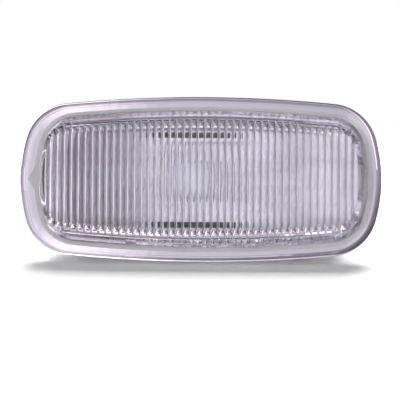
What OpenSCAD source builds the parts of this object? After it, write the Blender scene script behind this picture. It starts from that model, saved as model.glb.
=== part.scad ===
// Side repeater lamp: a clear fluted lens on a grey body that clips into a hole in a car's wing.
// Every piece is drawn with x along the lamp, y up the panel and z out of the panel, and upright() turns
// it to look along -Y with +Z up. The origin is on the panel's outer face, in the middle of the body.

/* [Lens] */
// Length of the lens over its flange
lens_w = 103; // [99:0.5:120]
// Height of the lens over its flange
lens_h = 46.8; // [45:0.2:56]
// How far the flange reaches further left than right
lens_shift = 0.9; // [0:0.1:1]
// Radius of the bow of the long sides
side_bow_r = 400; // [250:10:900]
// Radius of the bow of the ends
end_bow_r = 43; // [38:1:60]
// Radius of the four corners of the flange
corner_r = 13.7; // [12.8:0.1:16]
// Thickness of the flange
flange_t = 2.2; // [1.8:0.1:3]
// Radius of the flange's outer edge
flange_edge_r = 1.4; // [0.6:0.1:1.5]
// Wall of the lip behind the flange's edge
lip_wall = 1.6; // [1.5:0.1:2.1]
// Gap between the lip and the panel
lip_gap = 0.6; // [0.3:0.1:1.2]
// Flange beyond the rim at each end
flange_end = 3.3; // [3.2:0.1:5]
// Flange beyond the rim above and below
flange_side = 2.85; // [2.6:0.05:3.4]

/* [Dome] */
// Rim that shows through the flange at each end of the dome
step_end = 1.3; // [0.8:0.1:2]
// Rim that shows through the flange above and below the dome
step_side = 1.15; // [0.8:0.05:1.4]
// Height of the dome above the flange
dome_rise = 8.5; // [7:0.1:11]
// How far the long walls of the dome lean in
dome_lean = 2.4; // [1.6:0.1:3]
// How far the end walls of the dome lean in
dome_end_lean = 1.2; // [0.8:0.1:2]
// Radius round the front edge of the dome
dome_edge_r = 2.6; // [1.5:0.1:3]
// Fillet between the dome and the flange
dome_foot_r = 0.4; // [0.2:0.1:1.2]
// Radius of the bow of the front, along the lamp
crown_r = 850; // [600:10:2000]

/* [Lens cavity and flutes] */
// Wall of the dome at each end, at its foot
band_end = 1.6; // [1.2:0.1:2]
// Wall of the dome above and below, at its foot
band_side = 1.5; // [1.2:0.1:2]
// Thickness of the lens front
front_wall = 2.5; // [1.8:0.1:3.2]
// How far the long walls of the cavity lean in
cavity_lean = 2; // [1.6:0.1:2.6]
// How far the end walls of the cavity lean in
cavity_end_lean = 0.8; // [0.5:0.1:1.2]
// Radius inside the front edge
cove_r = 1.2; // [0.8:0.1:2.4]
// Radius of the bow of the cavity's ends, at the front
cavity_end_bow_r = 150; // [100:5:300]
// Spacing of the flutes
flute_pitch = 2; // [1.8:0.1:4]
// Depth of the hollow flutes
flute_depth = 0.8; // [0.3:0.05:0.8]
// How far down the walls the flutes run out, as a share of the wall
flute_runout = 0.2; // [0.1:0.05:0.9]

/* [Housing] */
// Thickness of the rim under the lens
rim_t = 2; // [1.7:0.1:3]
// Ledge of the rim at each end
ledge_end = 6.2; // [5.5:0.1:8]
// Ledge of the rim above and below
ledge_side = 2.75; // [2.6:0.05:3.2]
// Wall of the housing body
body_wall = 1.8; // [1.4:0.1:2.4]
// Depth of the body behind the panel
body_depth = 18; // [16:0.5:24]
// How much the body narrows to its back, on each side
body_draft = 0.7; // [0.3:0.1:1]
// Radius round the back of the body
body_edge_r = 2.2; // [1:0.1:3]
// Length of the pointed tab at the left end of the rim
tab_l = 1.9; // [1:0.1:1.9]
// Width of the pointed tab
tab_w = 6.4; // [4:0.2:9]
// Distance of the bulb from the middle of the body, to the left
bulb_offset = 2.7; // [0:0.1:5]
// Bore of the neck that takes the bulb holder
neck_bore = 19.6; // [18:0.1:22]
// Wall of the neck
neck_wall = 1.8; // [1.4:0.1:2.6]
// Length of the neck
neck_l = 6; // [5:0.5:9]

/* [Fixing to the panel] */
// Thickness of the panel that the lamp clips into
panel_t = 0.8; // [0.6:0.1:1.5]
// Thickness of the pressed panel seal
seal_t = 2; // [1.5:0.1:3]
// Reach of the fixed hook
hook_reach = 4; // [2.5:0.1:5]
// Width of the fixed hook
hook_w = 14; // [8:0.5:18]
// Thickness of the fixed hook
hook_t = 2.2; // [1.6:0.1:3]
// Width of the spring clip
clip_w = 10; // [7:0.5:12]
// Thickness of the spring clip
clip_t = 0.5; // [0.4:0.05:0.7]
// How far the free clip bulges out
clip_bulge = 3.6; // [3:0.1:4]
// How far the clip's shoulder sits behind the panel
clip_shoulder = 3.6; // [3:0.1:5]
// How far the clip's tip stays out of the body
clip_tip = 2.6; // [2.2:0.1:3]
// Thickness of the pad that the clip lies on
clip_seat_t = 1.2; // [0.8:0.1:1.6]
// Wall beside the clip
rail_wall = 1.4; // [1:0.1:2]
// Lip in front of the clip's edges
rail_lip = 0.9; // [0.7:0.1:1.1]
// How much of the clip's edge each lip covers
rail_grip = 1.4; // [1:0.1:2]
// Distance of the seal's outer edge from the rim's edge
seal_inset = 0.4; // [0:0.1:0.8]

/* [Reflector] */
// Thickness of the reflector
refl_t = 0.9; // [0.7:0.05:1.2]
// How far the recess for the reflector reaches under the lens
refl_hold = 0.5; // [0.4:0.05:0.6]
// Depth of the reflector's floor behind the rim
refl_depth = 6; // [4.5:0.1:7]
// Radius of the bow of the reflector's floor, along the lamp
floor_bow_r = 260; // [200:10:600]
// Width of the bulb pocket
pocket_w = 29.7; // [26:0.1:34]
// Strip of the tray left above and below the bulb pocket
pocket_side = 4.6; // [4.4:0.1:5.4]
// Depth of the bulb pocket
pocket_depth = 9; // [7:0.1:10]
// Radius of the pocket's corners
pocket_r = 5; // [2:0.1:8]
// Gap round the bulb in the pocket's floor
bulb_room = 1; // [0.6:0.1:2.6]
// Length of the slots above and below the pocket
slot_l = 23; // [16:0.5:24]
// Height of the slots
slot_h = 1.7; // [0.8:0.1:1.8]

/* [Bulb] */
// Diameter of the bulb
bulb_d = 10.3; // [9.5:0.1:11.5]
// Length of the bulb over its wedge
bulb_l = 26.8; // [25:0.1:28]
// Length of the wedge
wedge_l = 9; // [8:0.1:10]
// Width of the wedge
wedge_w = 9.2; // [8.6:0.1:9.8]
// Thickness of the wedge
wedge_t = 2.4; // [2:0.1:2.8]
// Length that the glass takes to flatten into the wedge
press_l = 3; // [2:0.1:4]
// How deep the wedge sits in the holder
wedge_grip = 7.1; // [6:0.1:7.6]
// Radius of the notches in the wedge's edges
wedge_notch_r = 0.8; // [0.4:0.1:1]
// Wall of the glass
glass_t = 0.7; // [0.5:0.05:1]
// Diameter of the lead wires
lead_d = 0.5; // [0.4:0.05:0.6]
// Distance between the lead wires
lead_gap = 5; // [4:0.1:5.6]
// Length of each wire folded up the wedge
lead_fold = 4.5; // [3:0.1:5.5]
// Length of the filament coil
coil_l = 3; // [2.4:0.1:3.2]
// Diameter of the filament coil
coil_d = 0.8; // [0.6:0.05:1.2]
// Turns of the filament coil
coil_turns = 7; // [5:1:8]
// Thickness of the filament
filament_d = 0.16; // [0.12:0.01:0.2]

/* [Bulb holder] */
// Diameter of the holder's cap
cap_d = 27; // [26:0.1:30]
// Thickness of the holder's cap
cap_t = 2.2; // [1.6:0.1:3]
// Inside width of the connector shroud
shroud_w = 13; // [12:0.1:16]
// Inside height of the connector shroud
shroud_h = 9.8; // [9.4:0.1:12]
// Inside depth of the connector shroud
shroud_l = 11.8; // [10:0.1:16]
// Wall of the connector shroud
shroud_wall = 1.6; // [1.2:0.1:2.2]
// Distance of the shroud's floor behind the cap
shroud_set = 1.8; // [0.8:0.1:3]
// Width of each contact
contact_w = 2.8; // [2:0.1:3.4]
// Thickness of each contact
contact_t = 0.6; // [0.4:0.05:0.8]
// How far the contacts flare out at their mouth
contact_flare = 0.6; // [0.4:0.05:0.8]
// Length of the blades in the shroud
blade_l = 8.5; // [7:0.1:9.5]
// Width of the two grips on the cap
wing_w = 9; // [6:0.5:12]
// Thickness of the grips
wing_t = 2; // [1.4:0.1:2.4]
// Reach of the grips behind the cap
wing_h = 5; // [3:0.5:8]
// Width of the latch ramp on the shroud
latch_w = 5; // [3:0.5:7]
// Height of the latch ramp
latch_h = 1.3; // [0.8:0.1:2]
// Length of the latch ramp
latch_l = 3; // [2:0.1:4]
// Distance of the latch ramp from the shroud's mouth
latch_z = 3.2; // [2:0.1:4.5]
// Width of the holder seal
ring_w = 2.4; // [1.8:0.1:3]
// Depth of the groove for the holder seal
ring_depth = 1.8; // [1.2:0.1:2.2]

/* [Clearances] */
// Gap between pieces that slide or drop into each other
fit_gap = 0.3; // [0.2:0.05:0.35]
// Gap between pieces that sit snugly
snug_gap = 0.05; // [0.03:0.01:0.1]

/* [Hidden] */
$fn = 96;
overlap = 0.4;
end_steps = 7;
corner_steps = 7;
side_steps = 14;
edge_steps = 4;
foot_steps = 3;
dome_steps = 4;
cove_steps = 3;
runout_steps = 2;

clip_foot_z = -14.2;
clip_head_z = -4.6;

// Heights above the panel
rim_z = seal_t;
seat_z = rim_z + rim_t;
flange_z = seat_z + flange_t;
front_z = flange_z + dome_rise;
cavity_z = front_z - front_wall;
body_z = -body_depth;
neck_z = body_z - neck_l;
floor_z = seat_z - refl_depth;
pocket_z = floor_z - pocket_depth;

// An outline is four bowed sides joined by four corner arcs, all tangent:
// [half length, half height, radius of the long sides, radius of the ends, radius of the corners]
A = 0;
B = 1;
SIDE = 2;
END = 3;
CORNER = 4;

function inset(s, end_in, side_in) = [
    s[A] - end_in, s[B] - side_in, s[SIDE] - side_in, s[END] - side_in, s[CORNER] - side_in
];
function shrunk(s, by) = inset(s, by, by);

lens_outline = [lens_w / 2, lens_h / 2, side_bow_r, end_bow_r, corner_r];
rim_outline = inset(lens_outline, flange_end, flange_side);
dome_outline = inset(rim_outline, step_end, step_side);
cavity_outline = inset(dome_outline, band_end, band_side);
body_outline = inset(rim_outline, ledge_end, ledge_side);
bore_outline = shrunk(body_outline, body_wall);
bowl_outline = shrunk(bore_outline, fit_gap);

function direction(a) = [cos(a), sin(a)];
function side_centre(s) = [0, s[B] - s[SIDE]];
function end_centre(s) = [s[A] - s[END], 0];
function corner_centre(s) =
    let (
        from = side_centre(s),
        apart = end_centre(s) - from,
        gap = norm(apart),
        along = apart / gap,
        d_side = s[SIDE] - s[CORNER],
        d_end = s[END] - s[CORNER],
        run = (d_side ^ 2 - d_end ^ 2 + gap ^ 2) / (2 * gap),
        off = sqrt(d_side ^ 2 - run ^ 2)
    )
    from + run * along + off * [along.y, -along.x];
// Where the corner arc meets the long side and the end, as angles
function side_angle(s) = let (d = corner_centre(s) - side_centre(s)) atan2(d.y, d.x);
function end_angle(s) = let (d = corner_centre(s) - end_centre(s)) atan2(d.y, d.x);

// Half the height of an outline at a place along the lamp
function half_y(s, x) =
    let (
        u = abs(x),
        c = corner_centre(s),
        side_x = s[SIDE] * cos(side_angle(s)),
        end_x = end_centre(s).x + s[END] * cos(end_angle(s))
    )
    u <= side_x ? side_centre(s).y + sqrt(s[SIDE] ^ 2 - u ^ 2)
    : u <= end_x ? c.y + sqrt(s[CORNER] ^ 2 - (u - c.x) ^ 2)
    : sqrt(max(0, s[END] ^ 2 - (u - end_centre(s).x) ^ 2));
// Half the length of an outline at a height
function half_x(s, y) =
    let (
        v = abs(y),
        c = corner_centre(s),
        end_y = s[END] * sin(end_angle(s))
    )
    v <= end_y ? end_centre(s).x + sqrt(s[END] ^ 2 - v ^ 2)
    : c.x + sqrt(max(0, s[CORNER] ^ 2 - (v - c.y) ^ 2));

module upright() {
    rotate([90, 0, 0])
        children();
}

// The upper half of an outline, from its left tip to its right tip
function top_half(s) =
    let (
        c = corner_centre(s),
        e = end_angle(s),
        t = side_angle(s),
        ends = end_centre(s),
        bow = side_centre(s)
    )
    concat(
        [for (i = [0:end_steps - 1]) mirrored(ends + s[END] * direction(e * i / end_steps))],
        [
            for (i = [0:corner_steps - 1])
                mirrored(c + s[CORNER] * direction(e + (t - e) * i / corner_steps))
        ],
        [for (i = [0:side_steps]) bow + s[SIDE] * direction(180 - t - (180 - 2 * t) * i / side_steps)],
        [for (i = [corner_steps - 1:-1:0]) c + s[CORNER] * direction(e + (t - e) * i / corner_steps)],
        [for (i = [end_steps - 1:-1:0]) ends + s[END] * direction(e * i / end_steps)]
    );
function mirrored(p) = [-p.x, p.y];
// Closes a half ring, from left tip to right tip, with its mirror image
function closed(top) = concat(top, [for (i = [len(top) - 2:-1:1]) [top[i].x, -top[i].y, top[i].z]]);
// The closed ring of an outline at a height
function ring(s, z, shift = 0) = closed([for (q = top_half(s)) [q.x + shift, q.y, z]]);

module plate(s, z0, z1) {
    translate([0, 0, z0])
        linear_extrude(z1 - z0)
            polygon([for (q = ring(s, 0)) [q.x, q.y]]);
}

// Points [inset, z] of a quarter turn, outward from the back or inward to the front
edge_angles = [for (i = [0:edge_steps]) 90 * i / edge_steps];
function back_turn(r, z) = [for (a = edge_angles) [r * (1 - sin(a)), z + r * (1 - cos(a))]];
function front_turn(r, z) = [for (a = edge_angles) [r * (1 - cos(a)), z - r * (1 - sin(a))]];

// A drafted tub or core: narrower by draft at the back, where its edge is rounded
module tub(s, z0, z1, draft, r) {
    loft(concat([for (p = back_turn(r, z0)) ring(shrunk(s, draft + p.x), p.y)], [ring(s, z1)]));
}

// A solid through a stack of closed rings that are mirrored about the lamp's long axis
module loft(rings) {
    n = len(rings[0]);
    last = len(rings) - 1;
    levels = [for (k = [0:last - 1]) k * n];
    half = n / 2;
    polyhedron(
        points = [for (ring = rings) each ring],
        faces = concat(
            [for (a = levels, i = [0:n - 1]) [a + i, a + (i + 1) % n, a + n + (i + 1) % n]],
            [for (a = levels, i = [0:n - 1]) [a + i, a + n + (i + 1) % n, a + n + i]],
            [for (i = [0:half - 1]) each cap(i, n, last * n, false)],
            [for (i = [0:half - 1]) each cap(i, n, 0, true)]
        ),
        convexity = 10
    );
}
// The strip of a cap between one pair of mirrored points and the next
function cap(i, n, base, back) =
    let (
        a = base + i,
        b = base + i + 1,
        c = base + n - i - 1,
        d = base + (n - i) % n,
        tris = i == 0 ? [[a, b, c]] : b == c ? [[a, b, d]] : [[a, b, c], [a, c, d]]
    )
    back ? [for (t = tris) [t[2], t[1], t[0]]] : tris;

// Slope of a wall that leans in by lean over its height
function lean_angle(lean, z0, z1) = atan2(lean, z1 - z0);
// How far past the leaning wall's top a radius reaches in
function shoulder(lean, z0, z1, r) = r * tan((90 - lean_angle(lean, z0, z1)) / 2);
// Round the shoulder of such a wall: points of [inset, z, angle of the outward normal]
function shoulder_points(lean, z0, z1, r, steps) =
    let (b = lean_angle(lean, z0, z1), reach = lean + shoulder(lean, z0, z1, r))
    [
        for (i = [0:steps])
            let (a = b + (90 - b) * i / steps)
            [reach - r * cos(a), z1 - r + r * sin(a), a]
    ];
// How much lower the bowed front is, away from the middle
function crown(x) = x ^ 2 / (2 * crown_r);
function crowned(x, z, z0, z1) = z - crown(x) * max(0, (z - z0) / (z1 - z0));

// Dome: rings of [inset, z] round the foot, up the wall and over the shoulder
dome_profile = concat(
    [
        for (i = [0:foot_steps])
            let (a = 90 * i / foot_steps)
            [-dome_foot_r * (1 - sin(a)), flange_z + dome_foot_r * (1 - cos(a))]
    ],
    shoulder_points(dome_lean, flange_z, front_z, dome_edge_r, dome_steps)
);
function dome_ring_outline(t) = [
    dome_outline[A] - t * dome_end_lean / dome_lean,
    dome_outline[B] - t,
    dome_outline[SIDE] - t,
    dome_outline[END] - t,
    dome_outline[CORNER] - t
];
function dome_ring(p) =
    closed([for (q = top_half(dome_ring_outline(p.x))) [q.x, q.y, crowned(q.x, p.y, flange_z, front_z)]]);

module lens_outside() {
    loft(concat(
        [
            for (p = concat(back_turn(lip_gap / 2, lip_gap), front_turn(flange_edge_r, flange_z)))
                ring(shrunk(lens_outline, p.x), p.y, -lens_shift)
        ],
        [for (p = dome_profile) dome_ring(p)]
    ));
}

// Cavity behind the dome, whose front and upper walls carry the flutes
function cavity_ring_outline(t, z) =
    let (f = max(0, min(1, (z - seat_z) / (cavity_z - seat_z))))
    [
        cavity_outline[A] - t * cavity_end_lean / cavity_lean,
        cavity_outline[B] - t,
        cavity_outline[SIDE] - t,
        cavity_outline[END] + (cavity_end_bow_r - cavity_outline[END]) * f,
        cavity_outline[CORNER] - t
    ];
cavity_shoulder = cavity_lean + shoulder(cavity_lean, seat_z, cavity_z, cove_r);
front_half_w = cavity_ring_outline(cavity_shoulder, cavity_z)[A];
flute_count = floor(2 * front_half_w / flute_pitch);
fluted_half_w = flute_count * flute_pitch / 2;
flute_r = ((flute_pitch / 2) ^ 2 + flute_depth ^ 2) / (2 * flute_depth);
flute_turn = asin(flute_pitch / 2 / flute_r);
// A flute is a hollow arc, so that a sharp ridge stands between it and the next.
// Its points: the middle, halfway up, the ridge and halfway down again
flute_mid = flute_r * sin(flute_turn / 2);
flute_stops = [0, flute_mid, flute_pitch / 2, flute_pitch - flute_mid];
flute_steps = len(flute_stops);
function column_x(i) =
    floor(i / flute_steps) * flute_pitch + flute_stops[i % flute_steps] - fluted_half_w;
function flute(x) =
    let (u = abs(((x + fluted_half_w + flute_pitch / 2) % flute_pitch) - flute_pitch / 2))
    flute_r - sqrt(flute_r ^ 2 - u ^ 2);
// Profile of the cavity: [inset, z, angle of the outward normal, share of the flutes' depth left]
wall_foot = [0, seat_z];
cavity_round = shoulder_points(cavity_lean, seat_z, cavity_z, cove_r, cove_steps);
cavity_profile = concat(
    [[wall_foot.x, wall_foot.y, lean_angle(cavity_lean, seat_z, cavity_z), 0]],
    [
        for (i = [0:runout_steps - 1])
            let (
                share = i / runout_steps,
                f = 1 - flute_runout * (1 - share),
                p = wall_foot + ([cavity_round[0].x, cavity_round[0].y] - wall_foot) * f
            )
            [p.x, p.y, lean_angle(cavity_lean, seat_z, cavity_z), share]
    ],
    [for (p = cavity_round) [p.x, p.y, p.z, 1]]
);
end_rows = 5;
// A ring of the cavity, whose points stand in columns across each flute
function fluted_ring(s, z, angle, share) =
    let (end_y = half_y(s, fluted_half_w), columns = flute_count * flute_steps)
    closed([
        for (q = concat(
            [for (i = [0:end_rows - 1]) let (y = end_y * sin(90 * i / end_rows)) [-half_x(s, y), y, 0]],
            [
                for (i = [0:columns])
                    let (
                        x = column_x(i),
                        depth = max(0, flute(x) - flute_depth * (1 - share))
                    )
                    [x, half_y(s, x) - depth * cos(angle), depth * sin(angle)]
            ],
            [for (i = [end_rows - 1:-1:0]) let (y = end_y * sin(90 * i / end_rows)) [half_x(s, y), y, 0]]
        ))
            [q.x, q.y, crowned(q.x, z, seat_z, cavity_z) - q.z]
    ]);

module lens_inside() {
    translate([-lens_shift, 0, 0])
        plate(shrunk(lens_outline, lip_wall), lip_gap - overlap, seat_z);
    loft(concat(
        [fluted_ring(cavity_outline, seat_z - overlap, 0, 0)],
        [for (p = cavity_profile) fluted_ring(cavity_ring_outline(p[0], p[1]), p[1], p[2], p[3])]
    ));
}

// Notches in the lip: one at the left end for a screwdriver, and two that let water out
pry_w = 7;
pry_h = 2.2;
drain_w = 3;
drain_h = 0.9;
drain_top_x = 25.5;
drain_foot_x = 21;
// Height of the middle of the lip's wall at a place along the lamp
function lip_y(x) = half_y(lens_outline, x) - lip_wall / 2;

module lip_notch(w, h, x, y, angle) {
    translate([x, y, lip_gap - overlap])
        rotate(angle)
            translate([-w / 2, -2 * lip_wall, 0])
                cube([w, 4 * lip_wall, h + overlap]);
}

module lens() {
    color([0.86, 0.85, 0.92, 0.45])
        upright()
            difference() {
                lens_outside();
                lens_inside();
                lip_notch(pry_w, pry_h, -lens_shift - lens_w / 2 + lip_wall / 2, 0, 90);
                lip_notch(drain_w, drain_h, -drain_top_x, lip_y(drain_top_x), 0);
                lip_notch(drain_w, drain_h, -drain_foot_x, -lip_y(drain_foot_x), 0);
            }
}

// Housing: rim and tub, a neck for the bulb holder, the fixed hook and the seat of the spring clip
end_x = body_outline[A];
root_x = end_x - body_wall + body_draft / 2;
neck_d = neck_bore + 2 * neck_wall;
neck_ribs = 6;
rib_t = 1.2;
rib_reach = 3.5;
hook_z = -panel_t - fit_gap;
hook_rib_h = 7;
hook_rib_y = hook_w / 2 - rib_t;
seat_x = end_x + clip_seat_t;
rail_x = seat_x + clip_t + 2 * snug_gap;
rail_w = clip_w + 2 * fit_gap;
recess_outline = inset(cavity_outline, -refl_hold, -refl_hold);
tab_root = tab_w / 2 * (tab_l + rim_t) / tab_l;

// A flat shape in x and z, given a width across the lamp
module across(w) {
    rotate([90, 0, 0])
        linear_extrude(w, center = true)
            children();
}

module rounded_box(w, h, r, z0, z1) {
    translate([0, 0, z0])
        linear_extrude(z1 - z0) {
            square([w - 2 * r, h], center = true);
            square([w, h - 2 * r], center = true);
            for (x = [-1, 1], y = [-1, 1])
                translate([x * (w / 2 - r), y * (h / 2 - r)])
                    circle(r = r);
        }
}

module hook() {
    across(hook_w)
        polygon([
            [root_x, hook_z],
            [end_x + hook_reach - hook_t / 2, hook_z],
            [end_x + hook_reach, hook_z - hook_t / 2],
            [end_x + hook_reach - hook_t / 2, hook_z - hook_t],
            [root_x, hook_z - hook_t]
        ]);
    for (side = [-1, 1])
        translate([0, side * hook_rib_y, 0])
            across(rib_t)
                polygon([
                    [root_x, hook_z - hook_t / 2],
                    [end_x + hook_reach - hook_t, hook_z - hook_t / 2],
                    [root_x, hook_z - hook_t - hook_rib_h]
                ]);
}

module clip_seat() {
    difference() {
        translate([-rail_x - rail_lip, -rail_w / 2 - rail_wall, clip_foot_z])
            cube([rail_x + rail_lip - root_x, rail_w + 2 * rail_wall, clip_head_z - clip_foot_z]);
        translate([-rail_x, -rail_w / 2, clip_foot_z - overlap])
            cube([rail_x - seat_x, rail_w, clip_head_z - clip_foot_z + 2 * overlap]);
        translate([-rail_x - rail_lip - overlap, -rail_w / 2 + rail_grip, clip_foot_z - overlap])
            cube([rail_lip + 2 * overlap, rail_w - 2 * rail_grip, clip_head_z - clip_foot_z + 2 * overlap]);
    }
}

module neck_outside() {
    translate([-bulb_offset, 0, neck_z]) {
        cylinder(d = neck_d, h = neck_l + body_wall / 2);
        for (i = [0:neck_ribs - 1])
            rotate(30 + i * 360 / neck_ribs)
                translate([neck_d / 2 - neck_wall / 2, 0, 0])
                    across(rib_t)
                        polygon([
                            [0, neck_l / 4],
                            [neck_wall / 2, neck_l / 4],
                            [rib_reach, neck_l],
                            [rib_reach, neck_l + body_wall / 2],
                            [0, neck_l + body_wall / 2]
                        ]);
    }
}

module housing() {
    color([0.76, 0.75, 0.78])
        upright()
            difference() {
                union() {
                    plate(rim_outline, rim_z, seat_z);
                    translate([0, 0, rim_z])
                        linear_extrude(rim_t)
                            polygon([
                                [-rim_outline[A] + rim_t, tab_root],
                                [-rim_outline[A] + rim_t, -tab_root],
                                [-rim_outline[A] - tab_l, 0]
                            ]);
                    tub(body_outline, body_z, rim_z + rim_t / 2, body_draft, body_edge_r);
                    neck_outside();
                    hook();
                    clip_seat();
                }
                tub(bore_outline, body_z + body_wall, seat_z + overlap, body_draft, body_edge_r / 2);
                plate(recess_outline, seat_z - refl_t, seat_z + overlap);
                translate([-bulb_offset, 0, neck_z - overlap])
                    cylinder(d = neck_bore, h = neck_l + 2 * body_wall);
            }
}

// Reflector: a tray with a deeper pocket round the bulb, held by its edge under the lens
bowl_draft = 0.4;
bowl_r = 1.2;
pocket_h = 2 * (bowl_outline[B] - pocket_side);
pocket_rise = (pocket_w / 2 + refl_t) ^ 2 / (2 * floor_bow_r);
slot_y = pocket_h / 2 + refl_t + slot_h / 2 + snug_gap;

// What lies in front of the bowed floor, or in front of its back
module before_floor(behind = 0) {
    translate([0, 0, floor_z + floor_bow_r])
        rotate([90, 0, 0])
            cylinder(r = floor_bow_r + behind, h = 2 * lens_h, center = true);
}

// The tray that a bowed floor closes, as a solid
module bowl(by, behind, top) {
    intersection() {
        tub(shrunk(bowl_outline, by), floor_z - behind - overlap, top, bowl_draft, bowl_r);
        before_floor(behind);
    }
}

module reflector() {
    color([0.86, 0.86, 0.89])
        upright()
            difference() {
                union() {
                    plate(shrunk(recess_outline, fit_gap), seat_z - refl_t, seat_z);
                    bowl(0, refl_t, seat_z - refl_t / 2);
                    rounded_box(
                        pocket_w + 2 * refl_t, pocket_h + 2 * refl_t, pocket_r + refl_t,
                        pocket_z - refl_t, floor_z + pocket_rise
                    );
                }
                bowl(refl_t, 0, seat_z + overlap);
                rounded_box(pocket_w, pocket_h, pocket_r, pocket_z, floor_z + bowl_r);
                translate([-bulb_offset, 0, pocket_z - 2 * refl_t])
                    cylinder(d = bulb_d + 2 * bulb_room, h = 3 * refl_t);
                for (side = [-1, 1])
                    translate([-bulb_offset, side * slot_y, 0])
                        rounded_box(slot_l, slot_h, slot_h / 3, floor_z - 2 * refl_t, floor_z + bowl_r);
            }
}

module panel_seal() {
    color([0.16, 0.16, 0.17])
        upright()
            difference() {
                plate(shrunk(rim_outline, seal_inset), 0, rim_z);
                plate(inset(body_outline, -fit_gap, -fit_gap), -overlap, rim_z + overlap);
            }
}

// Spring clip: a strip bent back on itself under its seat, out to a shoulder and in again at the panel
leaf_x = seat_x + snug_gap + clip_t / 2;
bend_r = (rail_lip + fit_gap + clip_t + snug_gap) / 2;
bend_steps = 8;
bend_z = clip_foot_z - snug_gap;
shoulder_x = leaf_x + clip_bulge;
shoulder_z = hook_z - clip_shoulder;
clip_path = concat(
    [[-leaf_x, clip_head_z + clip_t]],
    [for (i = [0:bend_steps]) [-leaf_x - bend_r, bend_z] + bend_r * direction(-180 * i / bend_steps)],
    [
        [-shoulder_x + clip_t, shoulder_z - 2 * clip_t],
        [-shoulder_x, shoulder_z],
        [-shoulder_x + clip_t, shoulder_z + 2 * clip_t],
        [-end_x - clip_tip, hook_z]
    ]
);

// A strip of even thickness along a path, with mitred corners
function corner_of(path, i) =
    let (
        last = len(path) - 1,
        before = i == 0 ? path[1] - path[0] : path[i] - path[i - 1],
        after = i == last ? before : path[i + 1] - path[i],
        n0 = [-before.y, before.x] / norm(before),
        n1 = [-after.y, after.x] / norm(after)
    )
    (n0 + n1) / (1 + n0 * n1);
function strip(path, t) = concat(
    [for (i = [0:len(path) - 1]) path[i] + corner_of(path, i) * t / 2],
    [for (i = [len(path) - 1:-1:0]) path[i] - corner_of(path, i) * t / 2]
);

module spring_clip() {
    color([0.72, 0.72, 0.74])
        upright()
            across(clip_w)
                polygon(strip(clip_path, clip_t));
}

// Bulb: an envelope pressed into a wedge round its two wires
holder_z = pocket_z - refl_t - fit_gap;
base_z = holder_z - wedge_grip;
wedge_z = base_z + wedge_l;
press_z = wedge_z + press_l;
tip_z = base_z + bulb_l;
coil_z = (press_z + tip_z) / 2;
bulb_fn = 32;
hollow_d = bulb_d - 2 * glass_t;

module at_bulb() {
    upright()
        translate([-bulb_offset, 0, 0])
            children();
}

module bulb_glass() {
    color([0.88, 0.93, 0.97, 0.4])
        at_bulb()
            difference() {
                union() {
                    translate([0, 0, press_z])
                        cylinder(d = bulb_d, h = tip_z - bulb_d / 2 - press_z);
                    translate([0, 0, tip_z - bulb_d / 2])
                        sphere(d = bulb_d);
                    hull() {
                        translate([0, 0, press_z])
                            cylinder(d = bulb_d, h = snug_gap, $fn = bulb_fn);
                        translate([-wedge_w / 2, -wedge_t / 2, wedge_z])
                            cube([wedge_w, wedge_t, snug_gap]);
                    }
                    translate([-wedge_w / 2, -wedge_t / 2, base_z])
                        cube([wedge_w, wedge_t, wedge_l]);
                }
                translate([0, 0, press_z + glass_t])
                    cylinder(d = hollow_d, h = tip_z - bulb_d / 2 - press_z - glass_t);
                translate([0, 0, tip_z - bulb_d / 2])
                    sphere(d = hollow_d);
                for (side = [-1, 1]) {
                    translate([side * lead_gap / 2, 0, base_z - overlap])
                        cylinder(d = lead_d, h = press_z + glass_t - base_z + 2 * overlap);
                    translate([side * wedge_w / 2, 0, base_z + wedge_grip / 2])
                        rotate([90, 0, 0])
                            cylinder(r = wedge_notch_r, h = 2 * wedge_t, center = true);
                }
            }
}

// One wire, from the filament down through the wedge and up the face that its contact presses on
function lead_path(face) =
    let (
        under_z = base_z - lead_d / 2 - snug_gap / 2,
        fold_y = face * (wedge_t / 2 + snug_gap / 2 + lead_d / 2)
    )
    [[0, coil_z], [0, under_z], [fold_y, under_z], [fold_y, under_z + lead_fold]];

module wire(path, d) {
    for (i = [0:len(path) - 2]) {
        run = path[i + 1] - path[i];
        translate([0, path[i].x, path[i].y])
            rotate([run.x == 0 ? (run.y > 0 ? 0 : 180) : (run.x > 0 ? -90 : 90), 0, 0])
                cylinder(d = d, h = norm(run));
        translate([0, path[i].x, path[i].y])
            sphere(d = d);
    }
}

module bulb_lead(side, face) {
    color([0.72, 0.68, 0.6])
        at_bulb()
            translate([side * lead_gap / 2, 0, 0])
                wire(lead_path(face), lead_d);
}

module bulb_lead_left() {
    bulb_lead(-1, 1);
}

module bulb_lead_right() {
    bulb_lead(1, -1);
}

// Filament: a coil with a straight leg to each wire
coil_steps = 10;
coil_sides = 5;
coil_reach = (lead_gap - lead_d) / 2;
function coil_point(i) =
    let (f = i / (coil_turns * coil_steps), a = 360 * coil_turns * f)
    [coil_l * (f - 0.5), coil_d / 2 * sin(a), coil_z + coil_d / 2 * (1 - cos(a))];
coil_path = concat(
    [[-coil_reach, 0, coil_z]],
    [for (i = [0:coil_turns * coil_steps]) coil_point(i)],
    [[coil_reach, 0, coil_z]]
);
function unit(v) = v / norm(v);
function coil_section(i) =
    let (
        last = len(coil_path) - 1,
        along = unit(coil_path[min(i + 1, last)] - coil_path[max(i - 1, 0)]),
        flat = unit(cross(along, abs(along.x) > 0.9 ? [0, 1, 0] : [1, 0, 0])),
        up = cross(flat, along)
    )
    [
        for (k = [0:coil_sides - 1])
            let (a = 360 * k / coil_sides)
            coil_path[i] + filament_d / 2 * (cos(a) * flat + sin(a) * up)
    ];

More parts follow.
